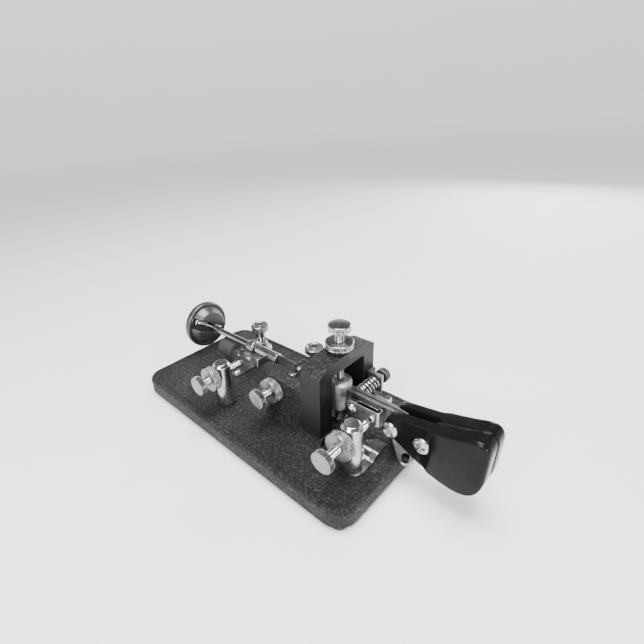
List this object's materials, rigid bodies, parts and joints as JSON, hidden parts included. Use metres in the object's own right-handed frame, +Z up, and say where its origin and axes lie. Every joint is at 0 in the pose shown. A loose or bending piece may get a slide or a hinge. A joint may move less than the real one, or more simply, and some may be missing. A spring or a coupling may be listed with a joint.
{
  "type": "semi-automatic morse key",
  "caption": "Semi-automatic morse key: a sprung lever with two finger pieces and a vibrating pendulum, on a weighted base with contact posts and a circuit closer.",
  "frame": {"origin": "centre of the whole key's footprint (its bounding box seen from above), on the surface that the rubber feet stand on", "axes": "+Z up, -Y towards the operator and the finger pieces, +X to the operator's right"},
  "size_m": [0.084, 0.1934, 0.0671],
  "materials": {
    "base_paint": "black wrinkle enamel",
    "frame_paint": "black wrinkle enamel, smooth front",
    "nickel": "satin nickel plate",
    "spring_steel": "brushed",
    "contact_silver": "bright",
    "black_plastic": "gloss",
    "black_metal": "black enamel",
    "roller": "matt",
    "rubber": "matt",
    "fibre": "black fibre"
  },
  "bodies": {
    "base": {"base": "base_paint", "rubber_feet": "rubber", "foot_screws": "nickel", "frame": "frame_paint", "frame_screws": "nickel", "lower_pivot": "nickel", "dash_post": "nickel", "dot_post": "nickel", "post_bushes": "fibre", "post_nuts": "nickel", "far_bracket": "nickel", "far_bracket_screws": "nickel", "coil_spring": "spring_steel", "damper_bracket": "nickel", "damper_bracket_screws": "nickel", "damper_pin": "nickel", "terminal_posts": "nickel", "contact_strip": "nickel", "closer_pivot_screw": "nickel"},
    "pivot_screw": {"pivot_screw": "nickel"},
    "pivot_locknut": {"pivot_locknut": "nickel"},
    "lever": {"lever_hub": "nickel", "lever_bars": "nickel", "lever_tail": "nickel", "lever_rivets": "nickel", "near_paddle": "black_plastic", "far_paddle": "black_plastic", "paddle_screws": "nickel", "paddle_nuts": "nickel", "dash_leaf": "spring_steel", "dash_leaf_screw": "nickel", "dash_contact": "contact_silver", "far_lug": "nickel", "tail_spring": "spring_steel"},
    "pendulum": {"main_spring": "spring_steel", "spring_ferrule": "nickel", "pendulum_rod": "nickel", "rod_collar": "nickel", "dot_leaf": "spring_steel", "dot_contact": "contact_silver"},
    "weight": {"weight": "black_metal", "weight_bar": "nickel", "weight_screws": "nickel"},
    "roller": {"damper_roller": "roller"},
    "closer": {"closer_blade": "nickel", "closer_knob": "black_plastic"},
    "dash_screw": {"dash_screw": "nickel"},
    "dash_knob": {"dash_screw_head": "nickel"},
    "dash_locknut": {"dash_locknut": "nickel"},
    "dot_screw": {"dot_screw": "nickel"},
    "dot_knob": {"dot_screw_head": "nickel"},
    "dot_locknut": {"dot_locknut": "nickel"},
    "ear_screw": {"ear_screw": "nickel"},
    "ear_knob": {"ear_screw_head": "nickel"},
    "ear_locknut": {"ear_locknut": "nickel"},
    "far_screw": {"far_stop_screw": "black_metal"},
    "rear_terminal_nut": {"rear_terminal_nut": "nickel"},
    "front_terminal_nut": {"front_terminal_nut": "nickel"}
  },
  "joints": [
    {"name": "lever_swing", "type": "hinge", "parent": "base", "child": "lever", "pos_m": [0.006, -0.02275, 0.0305], "axis": [0, 0, 1], "range_deg": [-2, 1.2], "stiffness_Nm_per_rad": 0.6},
    {"name": "pendulum_swing", "type": "hinge", "parent": "lever", "child": "pendulum", "pos_m": [0.006, 0.00445, 0.0305], "axis": [0, 0, 1], "range_deg": [-2, 2], "stiffness_Nm_per_rad": 0.25},
    {"name": "weight_slide", "type": "slide", "parent": "pendulum", "child": "weight", "axis": [0, 1, 0], "range_m": [-0.01, 0]},
    {"name": "closer_swing", "type": "hinge", "parent": "base", "child": "closer", "pos_m": [0.02, -0.05125, 0.0128], "axis": [0, 0, 1], "range_deg": [-22, 6]},
    {"name": "roller_turn", "type": "hinge", "parent": "base", "child": "roller", "pos_m": [0.006, 0.06475, 0.0212], "axis": [0, 1, 0], "continuous": true},
    {"name": "pivot_screw_turn", "type": "hinge", "parent": "base", "child": "pivot_screw", "pos_m": [0.006, -0.02275, 0.06], "axis": [0, 0, 1], "range_deg": [-180, 180]},
    {"name": "pivot_locknut_turn", "type": "hinge", "parent": "base", "child": "pivot_locknut", "pos_m": [0.006, -0.02275, 0.055], "axis": [0, 0, 1], "range_deg": [-180, 180]},
    {"name": "dash_screw_advance", "type": "slide", "parent": "base", "child": "dash_screw", "axis": [1, 0, 0], "range_m": [-0.0007, 0.0007]},
    {"name": "dash_knob_turn", "type": "hinge", "parent": "dash_screw", "child": "dash_knob", "pos_m": [-0.03, -0.04725, 0.0305], "axis": [1, 0, 0], "range_deg": [-361, 361]},
    {"name": "dash_locknut_turn", "type": "hinge", "parent": "base", "child": "dash_locknut", "pos_m": [-0.024, -0.04725, 0.0305], "axis": [1, 0, 0], "range_deg": [-180, 180]},
    {"name": "dot_screw_advance", "type": "slide", "parent": "base", "child": "dot_screw", "axis": [1, 0, 0], "range_m": [-0.0007, 0.0007]},
    {"name": "dot_knob_turn", "type": "hinge", "parent": "dot_screw", "child": "dot_knob", "pos_m": [-0.03, 0.03375, 0.0315], "axis": [1, 0, 0], "range_deg": [-361, 361]},
    {"name": "dot_locknut_turn", "type": "hinge", "parent": "base", "child": "dot_locknut", "pos_m": [-0.024, 0.03375, 0.0315], "axis": [1, 0, 0], "range_deg": [-180, 180]},
    {"name": "ear_screw_advance", "type": "slide", "parent": "base", "child": "ear_screw", "axis": [1, 0, 0], "range_m": [-0.0007, 0.0007]},
    {"name": "ear_knob_turn", "type": "hinge", "parent": "ear_screw", "child": "ear_knob", "pos_m": [-0.03, 0.00245, 0.0305], "axis": [1, 0, 0], "range_deg": [-361, 361]},
    {"name": "ear_locknut_turn", "type": "hinge", "parent": "base", "child": "ear_locknut", "pos_m": [-0.024, 0.00245, 0.0305], "axis": [1, 0, 0], "range_deg": [-180, 180]},
    {"name": "far_screw_turn", "type": "hinge", "parent": "base", "child": "far_screw", "pos_m": [0.025, -0.03285, 0.0305], "axis": [1, 0, 0], "range_deg": [-180, 180]},
    {"name": "rear_terminal_turn", "type": "hinge", "parent": "base", "child": "rear_terminal_nut", "pos_m": [0.027, 0.05975, 0.027], "axis": [0, 0, 1], "range_deg": [-180, 180]},
    {"name": "front_terminal_turn", "type": "hinge", "parent": "base", "child": "front_terminal_nut", "pos_m": [0.028, 0.01275, 0.027], "axis": [0, 0, 1], "range_deg": [-180, 180]}
  ],
  "couplings": [
    {"joint": "dash_knob_turn", "follows": "dash_screw_advance", "rad_per_m": 8976},
    {"joint": "dot_knob_turn", "follows": "dot_screw_advance", "rad_per_m": 8976},
    {"joint": "ear_knob_turn", "follows": "ear_screw_advance", "rad_per_m": 8976}
  ]
}
